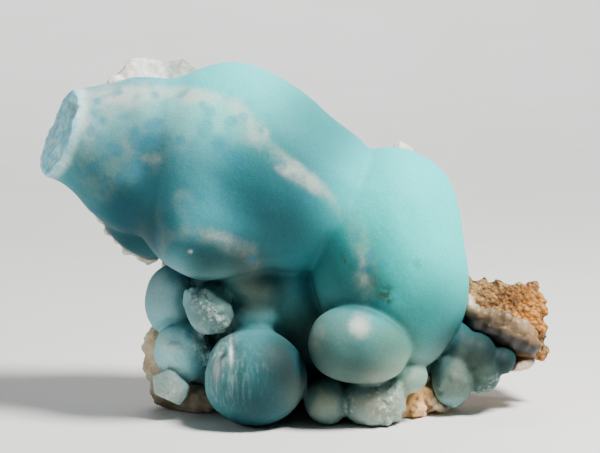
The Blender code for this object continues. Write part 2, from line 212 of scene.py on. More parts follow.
WHITE_CHUNKS = [
    [
        (-45, 9, 76), (-32, 8, 77), (-46, 15, 78), (-40.8, 15, 83.6), (-36.2, 15, 84.2), (-33, 15, 83.4),
        (-33, 11, 80.5), (-40, 21, 80), (-32, 21, 80), (-42, 18, 70), (-30, 18, 70),
    ],
    [
        (-34, 10, 79), (-25, 10, 78), (-33.5, 14, 82.6), (-28, 14, 83.3), (-24.8, 14, 81),
        (-32, 20, 80), (-24, 20, 78), (-32, 18, 70), (-24, 18, 70),
    ],
    [
        (21.5, 12, 58), (27.5, 12, 58), (22.6, 14, 62.6), (24.7, 14, 64.9), (27.4, 14, 62.2),
        (25, 18, 60), (22, 17, 54), (28, 17, 54),
    ],
    [
        (23.6, -5, 1), (24.2, -5.5, 6), (27.4, -4.5, 7.4), (29.4, -4.5, 3.5), (28.6, -4.5, 0),
        (24, 4, 0), (24, 4, 8), (30, 4, 8), (30, 4, 0),
    ],
    [
        (30, -1, 1), (29.6, -1.5, 4.5), (31.6, -2, 7), (34, -1, 6), (34.6, 0, 2), (33, 0, 0),
        (30, 6, 0), (30, 6, 8), (35, 6, 7), (35, 6, 0),
    ],
]
# Where crystals stand out along the rim of the lower left lobe and along the top of the right ledge
RIM = [
    (-49.6, 8, 50), (-48, 8, 47.6), (-45.1, 8, 43.7), (-42.8, 8, 40.7), (-40.3, 8, 38.5), (-37.3, 8, 37.1),
    (-34.7, 8, 36.6),
]
LEDGE_CREST = [
    (38.2, 0.8, 27.4), (40.8, 0.6, 25.0), (43.3, 0.4, 23.9), (44.8, 0.4, 23.2), (46.4, 0.4, 22.8),
    (48.6, 0.6, 22.5), (50.5, 1, 21.4), (52.3, 1.8, 20.8), (53.8, 2.8, 20), (54.5, 3.6, 18.4),
    (55.5, 4.6, 17),
]
# The rock: the slab's two halves, the flange, three blocks of the foot, and the block behind the flange
ROCK_CHUNKS = [
    [
        (-43, 17, 62), (-37, 17, 73), (-18, 17, 76), (0, 17, 68), (9, 17, 58), (9, 17, 4), (-26, 17, 0),
        (-30, 17, 20), (-38, 17, 46), (-34, 25, 62), (-20, 27, 66), (0, 27, 56), (6, 31, 20), (-20, 31, 6),
        (-30, 26, 44),
    ],
    [
        (-8, 17, 58), (24, 17, 54), (34, 17, 46), (37, 17, 30), (38, 15, 12), (26, 15, 0), (-8, 15, 0),
        (2, 27, 52), (25, 24, 44), (31, 28, 20), (-4, 32, 14), (26, 29, 6),
    ],
    [
        (38, 8, 26), (56, 9, 14), (59.4, 8.5, 11.0), (60.1, 10, 14.1), (39, 14, 31.2), (47.9, 16, 28.3),
        (59, 16, 28.8), (57.9, 12, 21.7), (36, 29, 26), (56, 26, 24), (57, 23, 13), (40, 28, 8),
        (38, 12, 10),
    ],
    [
        (-30, 8, -3), (-29, 9, 8), (-3, 7, -3), (-4, 8, 6), (-26, 27, -3), (-23, 26, 10), (-4, 30, -3),
        (-6, 29, 14), (-27, 19, 14),
    ],
    [(7, 7, -3), (8, 8, 6), (31, 6, -3), (31, 7, 8), (27, 25, -3), (26, 27, 12), (6, 31, -3), (8, 30, 14)],
    [(-12, 16, -3), (12, 15, -3), (-12, 18, 14), (12, 18, 14), (-9, 32, -3), (11, 31, -3), (0, 31, 18)],
    [
        (24, 15, 4), (26, 15, 26), (46, 13, 8), (46, 14, 25), (26, 26, 5), (27, 26, 24), (45, 25, 9),
        (46, 24, 22),
    ],
]
# Humps at random on the back: how many, the box of their middles, their corners and least and most reach
BACK_HUMPS = 18
HUMP_LOW = (-28.0, 24.0, 6.0)
HUMP_HIGH = (24.0, 28.0, 48.0)
HUMP_CORNERS = 14
HUMP_LEAST = (6, 3.5, 6)
HUMP_MOST = (12, 5.5, 12)
# How much the rock is drawn in before its crumbs are added
ROCK_DRAWN_IN = 0.8

# Small blocks scattered over a surface: low and high corner of the box, count, least and most radius, how
# deep each sits as a share of its radius, and how softly it joins
CRUST_NUGGETS = [((33, -9, 1), (52, 4, 11), 40, (0.9, 1.6), 0.75, 0.5)]
KNOB_NUGGETS = [((-28, -18, 23.4), (-15, -9, 33.4), 12, (1.6, 2.4), 0.92, 0.25)]
FOOT_NUGGETS = [
    ((17.5, -20, 0.5), (24.5, -8, 9.6), 14, (1.6, 2.4), 0.88, 0.25),
    ((18, -20, 0.5), (25, -8, 10.2), 90, (0.5, 0.95), 0.55, 0.25),
]
LEFT_BALL_NUGGETS = [
    ((-33, -12, 15), (-22, -5, 23), 8, (2.4, 3.2), 0.95, 0.6),
    ((-24.5, -12, 13), (-20, -4, 21), 24, (0.5, 0.9), 0.4, 0.25),
]
WHITE_NUGGETS = [
    ((-46, 6, 74), (-23, 14, 82), 40, (1.0, 2.4), 0.92, 0.3),
    ((-52, 4, 30), (-30, 16, 50), 110, (0.6, 1.3), 0.55, 0.25),
    ((-40, -4, 0), (-20, 12, 24), 170, (0.8, 1.5), 0.6, 0.4),
    ((22, -9, 0), (35, 2, 9), 16, (1.8, 2.6), 0.75, 0.15),
    ((22, -9, 0), (40, 6, 10), 36, (1.0, 1.7), 0.7, 0.2),
    ((22, -9, 0), (36, 2, 10), 34, (1.2, 2.0), 0.5, 0.12),
    ((22, -9, 0), (40, 6, 10), 90, (0.5, 1.0), 0.45, 0.15),
]
WHITE_BACK_NUGGETS = [((-50, 11, 0), (40, 20, 80), 320, (0.9, 2.0), 0.7, 0.3)]
FLANGE_NUGGETS = [((36, 2, 8), (62, 30, 34), 260, (1.0, 1.8), 0.7, 0.4)]
ROCK_NUGGETS = [
    ((36, 2, 8), (62, 20, 34), 420, (0.45, 0.9), 0.5, 0.25),
    ((-46, 14, 0), (42, 36, 80), 420, (1.4, 3.2), 0.8, 0.5),
]
# Round beads on the ledge, in a row of the same kind
LEDGE_BEADS = ((37, -3, 12), (58, 6, 26), 40, (0.8, 1.3), 0.8, 0.5)
# Pits: low and high corner of the box, count, least and most radius
CREAM_PIT = ((26, -9, 3), (29, 0, 6), 1, (0.8, 0.9))
FLANGE_PITS = ((36, 2, 8), (62, 20, 34), 40, (0.6, 1.2))
BACK_PITS = ((-44, 20, 3), (40, 36, 76), 80, (0.9, 2.0))


def empty_field():
    return np.full([len(axis) for axis in AXES], FAR, dtype=np.float32)


def window(centre, reach):
    """The part of the grid within reach of a place, as slices and as broadcast coordinates."""
    slices = []
    for axis, middle, half in zip(AXES, centre, reach):
        first = int(np.searchsorted(axis, middle - half))
        last = int(np.searchsorted(axis, middle + half))
        slices.append(slice(first, max(last, first + 1)))
    x, y, z = [axis[part] for axis, part in zip(AXES, slices)]
    return tuple(slices), x[:, None, None], y[None, :, None], z[None, None, :]


def soft_least(first, second, width):
    """The lesser of two distances, rounded where they are nearly equal."""
    blend = np.clip(0.5 + 0.5 * (second - first) / width, 0.0, 1.0)
    return second + (first - second) * blend - width * blend * (1.0 - blend)


def ellipsoid(x, y, z, bulge):
    """Roughly how far places are from a bulge."""
    turn = Euler([math.radians(angle) for angle in bulge.lean]).to_matrix()
    turn = np.array(turn, dtype=np.float32)
    offsets = [x - bulge.centre[0], y - bulge.centre[1], z - bulge.centre[2]]
    near = 0.0
    steep = 0.0
    for index, radius in enumerate(bulge.radii):
        along = sum(turn[row][index] * offsets[row] for row in range(3)) / radius
        near = near + along * along
        steep = steep + (along / radius) ** 2
    near = np.sqrt(near)
    return near * (near - 1.0) / np.sqrt(steep + 1e-9)


def add_bulge(field, row, width):
    """Joins the bulge of a row to the field."""
    bulge = Bulge(*row)
    reach = [max(bulge.radii) + width + MARGIN] * 3
    slices, x, y, z = window(bulge.centre, reach)
    field[slices] = soft_least(field[slices], ellipsoid(x, y, z, bulge), width)


def boxed(field):
    """The field cut to the box that the specimen fills."""
    for axis, low, high in zip(GRID, BOX_LOW, BOX_HIGH):
        field = np.maximum(field, np.maximum(low - axis, axis - high))
    return field.astype(np.float32)


def chunk_planes(corners):
    """The outer planes of the block that the corners span: a point on each and the way it faces."""
    bm = bmesh.new()
    verts = [bm.verts.new(corner) for corner in corners]
    bmesh.ops.convex_hull(bm, input=verts)
    bm.normal_update()
    middle = sum((Vector(corner) for corner in corners), Vector()) / len(corners)
    planes = []
    for face in bm.faces:
        place = face.verts[0].co.copy()
        facing = face.normal.copy()
        if facing.dot(place - middle) < 0.0:
            facing.negate()
        planes.append((place, facing))
    bm.free()
    return planes


def add_planes(field, centre, reach, planes, width, radius=None):
    """A block between planes, also kept within a radius of its centre when one is given."""
    slices, x, y, z = window(centre, reach)
    block = None
    if radius:
        block = np.sqrt((x - centre[0]) ** 2 + (y - centre[1]) ** 2 + (z - centre[2]) ** 2) - radius
    for place, facing in planes:
        side = facing[0] * (x - place[0]) + facing[1] * (y - place[1]) + facing[2] * (z - place[2])
        block = side if block is None else np.maximum(block, side)
    field[slices] = soft_least(field[slices], block.astype(np.float32), width)


def add_chunk(field, corners, width):
    """Joins the block that the corners span to the field."""
    low = [min(corner[index] for corner in corners) for index in range(3)]
    high = [max(corner[index] for corner in corners) for index in range(3)]
    centre = [(first + last) / 2 for first, last in zip(low, high)]
    reach = [(last - first) / 2 + width + MARGIN for first, last in zip(low, high)]
    add_planes(field, centre, reach, chunk_planes(corners), width)


def add_nugget(field, rng, centre, radius, width, faces=11):
    """A small block with flat faces turned at random, and with its sharpest corners rounded off."""
    least_depth, corner_reach, margin = 0.72, 1.1, 1.5
    facings = rng.normal(size=(faces, 3))
    facings /= np.linalg.norm(facings, axis=1)[:, None]
    depths = radius * rng.uniform(least_depth, 1.0, faces)
    planes = [(np.asarray(centre) + facing * depth, facing) for facing, depth in zip(facings, depths)]
    reach = [radius * corner_reach + width + margin] * 3
    add_planes(field, centre, reach, planes, width, corner_reach * radius)


def surface_spots(field, rng, low, high, count):
    """Places at random on the surface within a box."""
    slices = tuple(slice(int(np.searchsorted(axis, first)), int(np.searchsorted(axis, last)))
                   for axis, first, last in zip(AXES, low, high))
    near = np.argwhere(np.abs(field[slices]) < 0.7 * STEP)
    if not len(near):
        return []
    picked = near[rng.integers(0, len(near), count)]
    return [[float(axis[part.start + index]) for axis, part, index in zip(AXES, slices, spot)]
            for spot in picked]


def scatter_nuggets(field, rng, table):
    """Small blocks on the surface within the box of each row."""
    for low, high, count, sizes, sink, width in table:
        for spot in surface_spots(field, rng, low, high, count):
            radius = rng.uniform(*sizes)
            centre = np.asarray(spot) - gradient_at(field, spot) * radius * sink
            add_nugget(field, rng, centre, radius, width)


def scatter_beads(field, rng, low, high, count, sizes, sink, width):
    """Small round lumps on the surface within a box."""
    for spot in surface_spots(field, rng, low, high, count):
        radii = rng.uniform(*sizes, 3)
        centre = np.asarray(spot) - gradient_at(field, spot) * radii.mean() * sink
        add_bulge(field, (centre, radii), width)


def scatter_pits(field, rng, low, high, count, sizes):
    """Small round hollows in the surface within a box."""
    stand, width, margin = 0.3, 0.4, 2.0
    for spot in surface_spots(field, rng, low, high, count):
        radius = rng.uniform(*sizes)
        centre = np.asarray(spot) + gradient_at(field, spot) * radius * stand
        slices, x, y, z = window(centre, [radius + margin] * 3)
        pit = np.sqrt((x - centre[0]) ** 2 + (y - centre[1]) ** 2 + (z - centre[2]) ** 2) - radius
        field[slices] = -soft_least(-field[slices], pit.astype(np.float32), width)


def gradient_at(field, spot):
    """The way out of the body at a place."""
    index = [min(max(int(round((place - axis[0]) / STEP)), 1), len(axis) - 2)
             for place, axis in zip(spot, AXES)]
    slope = []
    for turn in range(3):
        ahead, behind = list(index), list(index)
        ahead[turn] += 1
        behind[turn] -= 1
        slope.append(float(field[tuple(ahead)] - field[tuple(behind)]))
    slope = np.array(slope)
    return slope / max(np.linalg.norm(slope), 1e-6)


def cell_corners(part):
    """The eight corners of the cells that places lie in, and how much each counts for places part way."""
    for corner in range(8):
        step = [(corner >> bit) & 1 for bit in range(3)]
        weight = 1.0
        for bit in range(3):
            weight = weight * (part[bit] if step[bit] else 1.0 - part[bit])
        yield step, weight


def lattice_noise(x, y, z, size, seed):
    """Smooth noise between -1 and 1 with features of the given size."""
    x, y, z = np.broadcast_arrays(x / size, y / size, z / size)
    low = [np.floor(axis).astype(np.int64) for axis in (x, y, z)]
    part = [(axis - floor).astype(np.float32) for axis, floor in zip((x, y, z), low)]
    ease = [value * value * (3.0 - 2.0 * value) for value in part]
    total = np.zeros(x.shape, dtype=np.float32)
    for step, weight in cell_corners(ease):
        number = (low[0] + step[0]) * 73856093 ^ (low[1] + step[1]) * 19349663
        number = number ^ (low[2] + step[2]) * 83492791
        number = (number ^ (seed * 2654435)) & 0x7FFFFFFF
        number = (number * 1103515245 + 12345) & 0x7FFFFFFF
        number = ((number >> 13) * 7919 + number) & 0xFFFF
        total += (weight * (number / 32767.5 - 1.0)).astype(np.float32)
    return total


def roughen(field, amplitude, size, seed, stretch=(1.0, 1.0, 1.0), reach=2.5, where=None):
    """Adds noise to the field near its surface, everywhere or by the amount that where() gives."""
    place = np.nonzero(np.abs(field) < reach)
    spots = [axis[index] for axis, index in zip(AXES, place)]
    points = [spot / wide for spot, wide in zip(spots, stretch)]
    change = amplitude * lattice_noise(*points, size, seed)
    if where is not None:
        change = change * where(*spots)
    field[place] += change


def falloff(x, y, z, centre, radii):
    """1 at a place, falling to 0 around it."""
    apart = [(value - middle) / radius for value, middle, radius in zip((x, y, z), centre, radii)]
    return np.exp(-(apart[0] ** 2 + apart[1] ** 2 + apart[2] ** 2))


def blue_field(rng):
    field = empty_field()
    for join, blend, bulges in GREAT_LOBES.values():
        lobe = empty_field()
        for bulge in bulges:
            add_bulge(lobe, bulge, blend)
        field = soft_least(field, lobe, join)
    for name, bulge in SMALL_LOBES.items():
        add_bulge(field, bulge, SOFT_BLEND if name in SOFT_LOBES else SMALL_BLEND)
    roughen(field, 0.45, 11.0, 41)
    roughen(field, 0.14, 3.6, 42)
    add_chunk(field, LEFT_CRYSTAL, 0.5)
    scatter_nuggets(field, rng, CRUST_NUGGETS)
    knob_crystals(field, rng)
    add_bulge(field, FOOT_SWELL, 1.5)
    scatter_nuggets(field, rng, FOOT_NUGGETS)
    scatter_nuggets(field, rng, LEFT_BALL_NUGGETS)
    front_ball_flutes(field)
    field = np.maximum(field, broken_end(field))
    x, y, z = GRID
    back = BLUE_BACK + BACK_WAVE * lattice_noise(x, 0 * y, z, BACK_WAVE_SIZE, 3)
    return boxed(np.maximum(field, y - back))


def knob_crystals(field, rng):
    """The sugary crystals of the knob under the belly: fine ones down its middle, then blunt ones."""
    add_chunk(field, KNOB_BLOCK, 0.6)
    for share in np.linspace(0.0, 1.0, 5):
        low = (-25.0 + 5.4 * share, -18, 29.4 - 6.0 * share)
        high = (low[0] + 3.2, -9, low[2] + 3.8)
        scatter_nuggets(field, rng, [(low, high, 26, (0.45, 0.95), 0.45, 0.25)])
    scatter_nuggets(field, rng, KNOB_NUGGETS)


def front_ball_flutes(field):
    """Upright flutes and thin blades on the left of the front ball."""
    def left_third(x, y, z):
        return falloff(x, y, z, (-18.5, -18, 12), (7, 9, 9))
    roughen(field, 0.7, 2.1, 51, (1.0, 1.0, 9.0), where=left_third)
    roughen(field, 0.5, 1.0, 52, (1.0, 1.0, 7.0), where=left_third)
    for blade, width in BLADES:
        add_bulge(field, blade, width)


def broken_end(unbroken):
    """Distance in front of the broken left end: wavy fibres, with a hollow just inside its rim."""
    facing = np.array(BREAK_FACING) / np.linalg.norm(BREAK_FACING)
    broken = sum(facing[index] * (value - BREAK_PLACE[index]) for index, value in enumerate(GRID))
    broken = broken.astype(np.float32)
    place = np.nonzero(np.abs(broken) < MARGIN)
    spots = [axis[index] for axis, index in zip(AXES, place)]
    along = sum(part * spot for part, spot in zip(FIBRE_ALONG, spots))
    across = sum(part * spot for part, spot in zip(FIBRE_ACROSS, spots))
    height, size, seed = BREAK_WAVES
    broken[place] += height * lattice_noise(*spots, size, seed)
    for height, size, longer, seed in BREAK_FIBRES:
        broken[place] += height * lattice_noise(0 * along, across, along / longer, size, seed)
    inside = -unbroken[place]
    near_side = np.clip((2.0 - spots[1]) / 7.0, 0.0, 1.0)
    broken[place] += 1.1 * near_side * np.exp(-((inside - 2.6) / 1.3) ** 2)
    return broken


def along_line(rng, line, shares, stray):
    """Places along a line: at the shares of each piece of it, each a little astray."""
    for first, last in zip(line[:-1], line[1:]):
        for share in shares:
            yield np.array(first) + (np.array(last) - np.array(first)) * share + rng.normal(0.0, stray, 3)


def white_field(blue, rng):
    field = empty_field()
    for bulge in SHEET_LUMPS:
        add_bulge(field, bulge, 6.0)
    for bulge in EDGE_LUMPS:
        add_bulge(field, bulge, 0.8)
    for corners in WHITE_CHUNKS:
        add_chunk(field, corners, 0.4)
    roughen(field, 0.45, 4.2, 21)
    for spot in along_line(rng, RIM, np.linspace(0.0, 0.8, 5), 0.25):
        add_nugget(field, rng, spot, rng.uniform(0.9, 1.7), 0.3)
    for spot in along_line(rng, LEDGE_CREST, (0.0, 0.5), 0.3):
        add_nugget(field, rng, spot + (0.0, 0.0, 0.3), rng.uniform(1.0, 1.9), 0.12, 8)
    scatter_beads(field, rng, *LEDGE_BEADS)
    scatter_nuggets(field, rng, WHITE_NUGGETS)
    scatter_pits(field, rng, *CREAM_PIT)
    scatter_nuggets(field, rng, WHITE_BACK_NUGGETS)
    roughen(field, 0.14, 1.4, 22)
    return boxed(np.maximum(field, GAP - blue))


def rock_field(blue, white, rng):
    field = empty_field()
    for corners in ROCK_CHUNKS:
        add_chunk(field, corners, 1.5)
    for _ in range(BACK_HUMPS):
        middle = rng.uniform(HUMP_LOW, HUMP_HIGH)
        spokes = rng.normal(size=(HUMP_CORNERS, 3))
        spokes /= np.linalg.norm(spokes, axis=1)[:, None]
        corners = middle + spokes * rng.uniform(HUMP_LEAST, HUMP_MOST)
        add_chunk(field, corners.tolist(), 1.0)
    field += ROCK_DRAWN_IN
    roughen(field, 0.8, 7.0, 31, reach=4.0)
    roughen(field, 0.45, 3.0, 32)
    scatter_nuggets(field, rng, FLANGE_NUGGETS)
    scatter_pits(field, rng, *FLANGE_PITS)
    scatter_nuggets(field, rng, ROCK_NUGGETS)
    scatter_pits(field, rng, *BACK_PITS)
    roughen(field, 0.25, 1.3, 33)
    return boxed(np.maximum(field, GAP - np.minimum(blue, white)))


def taking(axis, first, last, others=slice(None)):
    """The index that takes a part of one axis, and the same part of both others."""
    index = [others] * 3
    index[axis] = slice(first, last)
    return tuple(index)


def surface(field):
    """Vertices and quads of the field's zero surface, one vertex in each cell that the surface crosses."""
    inside = field < 0.0
    total = np.zeros([size - 1 for size in field.shape] + [3], dtype=np.float32)
    count = np.zeros([size - 1 for size in field.shape], dtype=np.float32)
    for axis in range(3):
        lower, upper = taking(axis, 0, -1), taking(axis, 1, None)
        low, high = field[lower], field[upper]
        crossed = inside[lower] != inside[upper]
        share = np.where(crossed, low / np.where(crossed, low - high, 1.0), 0.0)
        others = [index for index in range(3) if index != axis]
        for first in range(2):
            for second in range(2):
                pick = [slice(None)] * 3
                pick[others[0]] = slice(first, field.shape[others[0]] - 1 + first)
                pick[others[1]] = slice(second, field.shape[others[1]] - 1 + second)
                pick = tuple(pick)
                here = crossed[pick]
                count += here
                total[..., axis] += share[pick] * here
                total[..., others[0]] += first * here
                total[..., others[1]] += second * here
    used = count > 0
    number = np.full(count.shape, -1, dtype=np.int64)
    number[used] = np.arange(int(used.sum()))
    places = np.argwhere(used) + total[used] / count[used][:, None]
    corners = np.array([axis[0] for axis in AXES]) + places * STEP
    quads = []
    for axis in range(3):
        others = [(axis + 1) % 3, (axis + 2) % 3]
        first = inside[taking(axis, 0, -1, slice(1, -1))]
        second = inside[taking(axis, 1, None, slice(1, -1))]
        for entering in (False, True):
            edges = np.argwhere((first == (not entering)) & (second == entering))
            edges[:, others[0]] += 1
            edges[:, others[1]] += 1
            around = []
            for back in ((1, 1), (0, 1), (0, 0), (1, 0)):
                cell = edges.copy()
                cell[:, others[0]] -= back[0]
                cell[:, others[1]] -= back[1]
                around.append(number[tuple(cell.T)])
            ring = np.stack(around, axis=1)
            quads.append(ring[:, ::-1] if entering else ring)
    return corners, np.concatenate(quads)


def large_islands(quads, count):
    """The quads of the main body and of every other that has a twentieth of its vertices."""
    label = np.arange(count)
    pairs = np.concatenate([quads[:, [side, (side + 1) % 4]] for side in range(4)])
    while True:
        least = np.minimum(label[pairs[:, 0]], label[pairs[:, 1]])
        former = label.copy()
        np.minimum.at(label, pairs[:, 0], least)
        np.minimum.at(label, pairs[:, 1], least)
        label = label[label]
        if np.array_equal(label, former):
            break
    sizes = np.bincount(label)
    return quads[sizes[label[quads[:, 0]]] > sizes.max() / 20]


def body_object(name, field):
    """The field's surface as a smooth-shaded object, thinned to MOST_TRIANGLES triangles."""
    corners, quads = surface(field)
    quads = large_islands(quads, len(corners))
    used, quads = np.unique(quads, return_inverse=True)
    quads = quads.reshape(-1, 4)
    mesh = bpy.data.meshes.new(name)
    mesh.from_pydata((corners[used] - BASE_MIDDLE) * MM, [], quads.tolist())
    mesh.update()
    obj = bpy.data.objects.new(name, mesh)
    bpy.context.scene.collection.objects.link(obj)
    if 2 * len(quads) > MOST_TRIANGLES:
        thin = obj.modifiers.new("thin", "DECIMATE")
        thin.ratio = MOST_TRIANGLES / (2.0 * len(quads))
        graph = bpy.context.evaluated_depsgraph_get()
        obj.data = bpy.data.meshes.new_from_object(obj.evaluated_get(graph))
        obj.modifiers.clear()
    obj.data.shade_smooth()
    return obj


def vertex_places(obj):
    """Places of the vertices in millimetres, and the ways they face."""
    count = len(obj.data.vertices)
    places = np.empty(count * 3, dtype=np.float32)
    obj.data.vertices.foreach_get("co", places)
    facings = np.empty(count * 3, dtype=np.float32)
    obj.data.vertex_normals.foreach_get("vector", facings)
    return places.reshape(-1, 3) / MM + np.array(BASE_MIDDLE, dtype=np.float32), facings.reshape(-1, 3)


def sample(field, places):
    """The field's value at places between the grid's points."""
    low, part = [], []
    for index, axis in enumerate(AXES):
        spot = np.clip((places[:, index] - axis[0]) / STEP, 0.0, len(axis) - 1.001)
        low.append(spot.astype(np.int64))
        part.append(spot - low[-1])
    total = 0.0
    for step, weight in cell_corners(part):
        total = total + weight * field[low[0] + step[0], low[1] + step[1], low[2] + step[2]]
    return total


def shelter(field, places, facings, reach):
    """How closed in a surface is: 0 in the open, 1 where something faces it within reach."""
    ahead = sample(field, places + facings * reach)
    return np.clip(1.0 - ahead / reach, 0.0, 1.0)


def store(obj, name, values):
    """Keeps one number or one colour for each vertex."""
    if values.ndim == 1:
        attribute = obj.data.attributes.new(name, "FLOAT", "POINT")
        attribute.data.foreach_set("value", values.astype(np.float32))
    else:
        attribute = obj.data.attributes.new(name, "FLOAT_COLOR", "POINT")
        colours = np.ones((len(values), 4), dtype=np.float32)
        colours[:, :3] = values
        attribute.data.foreach_set("color", colours.ravel())


def front_view(places):
    """Millimetres across and up in the front view, where the picture's middle is MARKS_MIDDLE up."""
    above = places[:, 2] - VIEW_HEIGHT
    depth = VIEW_DISTANCE + places[:, 1] * math.cos(VIEW_DOWN) - above * math.sin(VIEW_DOWN)
    up = places[:, 1] * math.sin(VIEW_DOWN) + above * math.cos(VIEW_DOWN)
    return places[:, 0] * VIEW_DISTANCE / depth, MARKS_MIDDLE + up * VIEW_DISTANCE / depth


def linear(red, green, blue):
    """A screen colour, 0 to 255, as linear light."""
    values = np.array([red, green, blue]) / 255.0
    return np.where(values < 0.04045, values / 12.92, ((values + 0.055) / 1.055) ** 2.4)


# How much the base colour counts among the tints, and how near a surface counts as sheltered, for the
# painted crease shade
BASE_WEIGHT = 0.35
NEAR_REACH = 2.0
FAR_REACH = 6.0
STONE_REACH = 1.6

# Tints of the blue growths in the front view: across, up, reach, strength, colour. Besides the stone's own
# colours, the entries marked below are painted shade, and the recess is painted light
BASE_TINT = linear(70, 172, 184)
TINTS_WITH_PAINTED_LIGHT_AND_SHADE = {
    "left lobe": (-44.8, 74.5, 9, 1.2, (40, 133, 144)),
    "left lobe middle": (-37, 65, 6, 2.0, (38, 112, 126)),
    # Painted shade: the left lobe's lower part and its lower right, in the shade of the belly's bulge
    "left lobe deep": (-42, 52, 3.5, 4.0, (4, 62, 78)),
    "left lobe low": (-45.4, 58.6, 8, 2.0, (5, 70, 78)),
    "middle top": (-12.1, 83.2, 12, 1.5, (70, 208, 202)),
    "middle right": (3.5, 73.9, 10, 1.5, (28, 109, 107)),
    "middle front": (-8.3, 59.2, 10, 1.5, (10, 65, 69)),
    # Painted shade: the middle lobe's underside
    "middle low": (-3.5, 46.8, 9, 2.0, (8, 53, 60)),
    "middle column": (-31.8, 59.2, 8, 1.0, (41, 94, 100)),
    "right lobe": (27.1, 46.2, 14, 2.0, (26, 223, 215)),
    # Painted shade, down to the belly: the right lobe's lower part and foot, its flank turned from the key
    # light, and the undersides of the left lobe and of the belly
    "right lobe low": (30.1, 28.5, 8, 1.5, (7, 65, 44)),
    "right lobe foot": (15.5, 33, 4.5, 3.0, (16, 30, 22)),
    "right lobe flank": (13.0, 39.0, 8, 2.5, (3, 8, 3)),
    "under left": (-38.9, 45.0, 8, 2.5, (3, 21, 29)),
    "belly": (-21.2, 38.6, 6, 2.5, (8, 21, 14)),
    "belly right": (-13.0, 40.7, 4, 2.0, (3, 19, 23)),
    "column": (-11.6, 32.7, 6, 2.5, (81, 79, 58)),
    # Painted light: the recess under the belly made lighter against its shadow
    "recess": (-19.0, 31.8, 3.5, 5.0, (96, 140, 136)),
    "egg": (5.3, 19.7, 8, 3.0, (83, 118, 107)),
    "egg right": (22.4, 19.1, 5, 2.5, (74, 103, 83)),
    # Painted shade: the underside of the egg
    "egg low": (12.0, 12.4, 7, 3.0, (5, 30, 17)),
    "front ball": (-18.3, 14.4, 8, 3.0, (52, 91, 89)),
    # Painted shadow and shade: the front ball's right, in the egg's shadow, and its underside
    "front ball right": (-1.0, 14.4, 6, 12.0, (3, 3, 3)),
    "front ball low": (-10.6, 3.4, 7, 3.0, (3, 4, 3)),
    "hidden ball": (-32.4, 30.9, 6, 3.0, (136, 179, 183)),
    "left ball": (-27.5, 16.7, 6, 3.0, (163, 225, 230)),
    "knob": (-21.8, 27.9, 5, 3.0, (90, 101, 92)),
    "left crystal": (-30.9, 9.7, 4, 5.0, (169, 179, 165)),
    "foot": (5.0, 6.7, 6, 3.0, (120, 122, 103)),
    "foot right": (19.3, 6.4, 6, 3.0, (150, 145, 123)),
    "foot bead": (24.8, 11.4, 4, 3.0, (137, 161, 136)),
    "crust front": (36.5, 12.0, 6, 3.0, (107, 110, 92)),
    # Painted shadow: the crust's lobes beneath the ledge
    "crust": (45.5, 17.0, 5, 10.0, (5, 10, 5)),
    "crust end": (51, 14, 4, 5.0, (20, 34, 26)),
    "crust low": (42.5, 11.5, 4, 5.0, (60, 74, 60)),
    # Painted shadow of the ledge on the crust's upper lobe
    "crust upper": (38.1, 19.7, 4.5, 3.0, (22, 14, 5)),
}

# The seam between the left lobe and the middle lobe: up, and across
SEAM = [(40, -33.6), (46, -34.8), (52, -34.4), (66, -32.1), (79, -31.0), (90, -30.6)]
# Boundary of the middle lobe's veil: across and up. It starts sharply beneath this line and thins out
# over a depth that the second table gives
VEIL_EDGE = [
    (-31.5, 79), (-26, 79.6), (-21, 79), (-16, 76.6), (-11, 72.5), (-7, 67.6), (-2, 63.5), (3, 59.5),
    (7.5, 55), (10.5, 50.5),
]
VEIL_DEPTH = [(-31.5, 17), (-24, 15), (-16, 10), (-11, 6.5), (-5, 5), (3, 4), (8, 3.4), (10.5, 3)]
# Top of the left lobe's veil: across and up
VEIL_TOP = [(-60, 90), (-41, 84), (-36, 80.4), (-31, 79)]

# Veil patches over the blue: across, up, half width, half height, turn in degrees, strength
LEFT_VEIL = [
    (-51, 70, 7, 11, 18, 0.9),
    (-42, 77, 12, 5, 4, 0.95),
    (-35, 70, 5, 8, 0, 0.5),
    (-43, 66, 9, 8, 0, 0.55),
    (-36, 62.5, 4, 2.4, -24, 0.45),
    (-47, 56, 6, 4, 30, 0.3),
]
VEIL = [
    (-32.8, 46, 1.6, 7, 4, 0.5),
    (-27.2, 53, 3.4, 3.4, 0, 0.6),
    (-28.5, 45.3, 3.6, 2.2, 14, 0.5),
    (-22.5, 45.2, 4.6, 2.2, -14, 0.65),
    (-16, 42.6, 4.6, 2.4, -26, 0.6),
    (-11.2, 39.5, 2.4, 3.6, 10, 0.45),
    (14, 45, 2.6, 7, 14, 0.65),
    (15.5, 36, 3.2, 7, 0, 0.6),
    (14.2, 23.4, 3.2, 3.0, 0, 0.7),
    (4, 21, 2.4, 6, 0, 0.45),
    (-17, 20, 3.2, 8, 4, 0.5),
    (-30.5, 19.5, 3.4, 2.4, 0, 0.6),
    (-33.5, 34, 3.0, 6, 8, 0.25),
    (-23.5, 21, 2.0, 3.6, 20, 0.6),
]
# The even veil on the sides that the front view doesn't show
SIDE_VEIL = 0.4
# Where the veil is thickest and almost white
WHITE_VEIL = [
    (-41, 78.5, 10, 2.6, 4, 1.0),
    (-51, 72.5, 2.6, 8, 14, 0.7),
    (-45, 74, 8, 5, 0, 0.15),
    (-35.6, 63.4, 4.2, 2.0, -22, 0.35),
    (-40.5, 66.5, 2.6, 2.2, 0, 0.15),
    (-24, 77.6, 6.5, 1.7, -3, 0.9),
    (-14, 74, 4.6, 1.7, -38, 0.9),
    (-10, 68.5, 2.6, 3.4, 0, 0.5),
    (-3.5, 61.5, 5.0, 2.2, -36, 0.5),
    (4, 56.5, 4.8, 2.0, -42, 0.6),
    (14, 24.2, 2.5, 2.4, 0, 0.75),
    (15, 37, 1.6, 5, 8, 0.35),
    (-20, 45, 5, 1.6, -18, 0.3),
]
